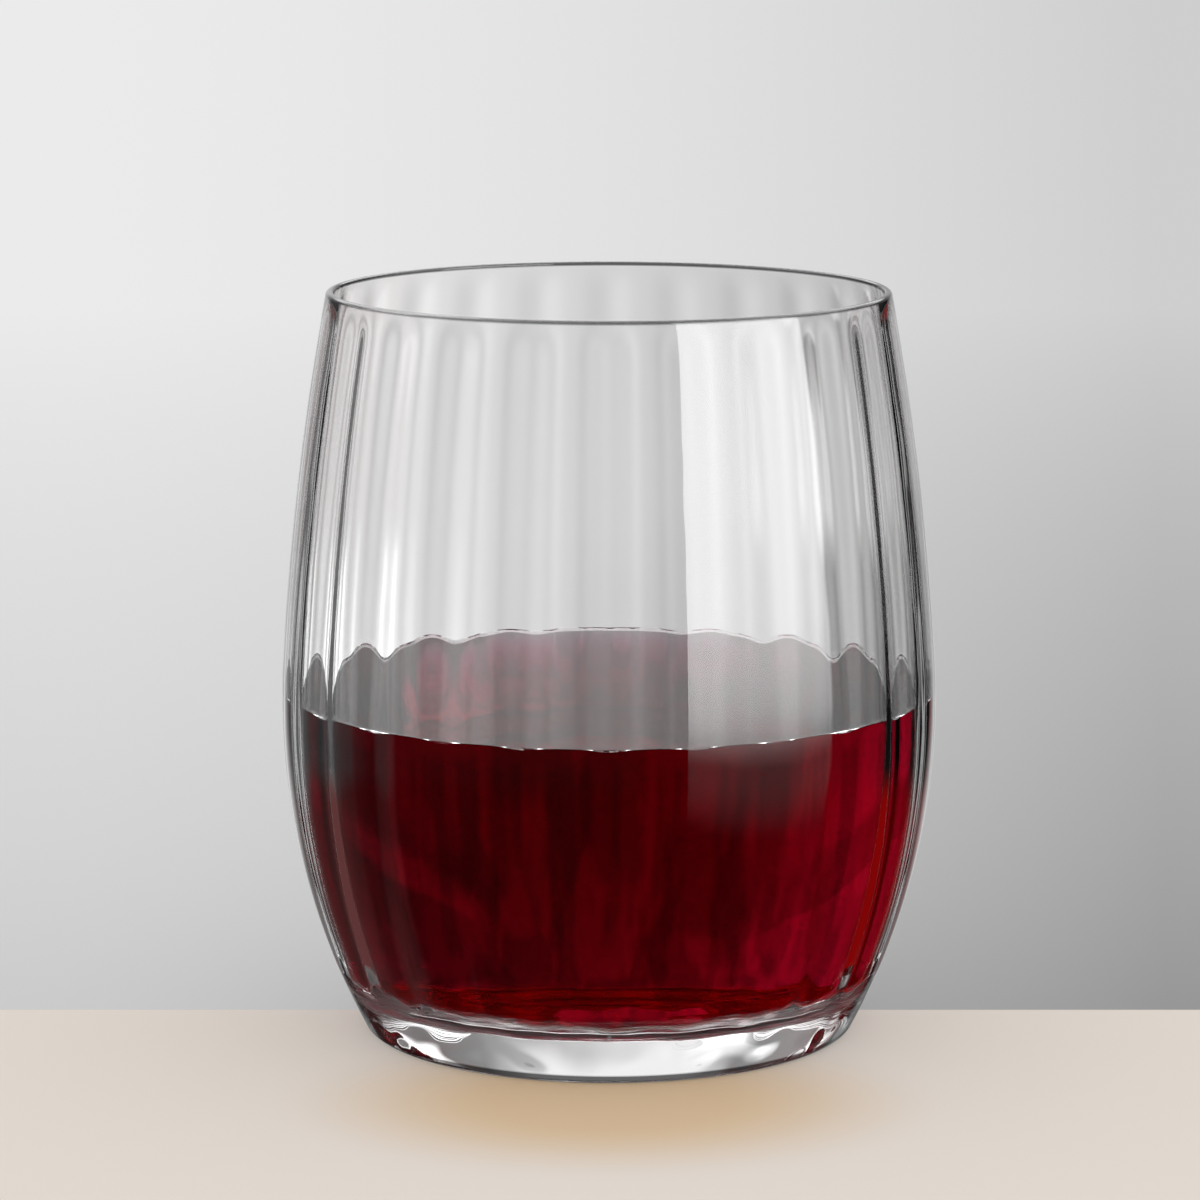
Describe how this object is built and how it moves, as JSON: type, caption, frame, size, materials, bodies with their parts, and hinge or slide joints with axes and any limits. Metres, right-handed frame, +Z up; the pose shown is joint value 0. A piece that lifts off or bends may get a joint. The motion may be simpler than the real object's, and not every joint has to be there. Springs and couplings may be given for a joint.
{
  "type": "stemless wine glass",
  "caption": "Stemless wine glass: a barrel-shaped clear bowl with soft ribs inside, a thin rim and a thick clear base, holding red wine up to its widest point.",
  "frame": {"origin": "centre of the foot, on the surface that the glass stands on", "axes": "+Z up along the glass's axis; +X to the right and -Y towards the viewer in the pictured view"},
  "size_m": [0.09, 0.09, 0.1022],
  "materials": {
    "clear_glass": "clear fire-polished glass, smooth outside, softly ribbed inside",
    "red_wine": "clear dark red wine with a still, glossy surface"
  },
  "bodies": {
    "root": {"glass": "clear_glass", "wine": "red_wine"}
  },
  "joints": []
}
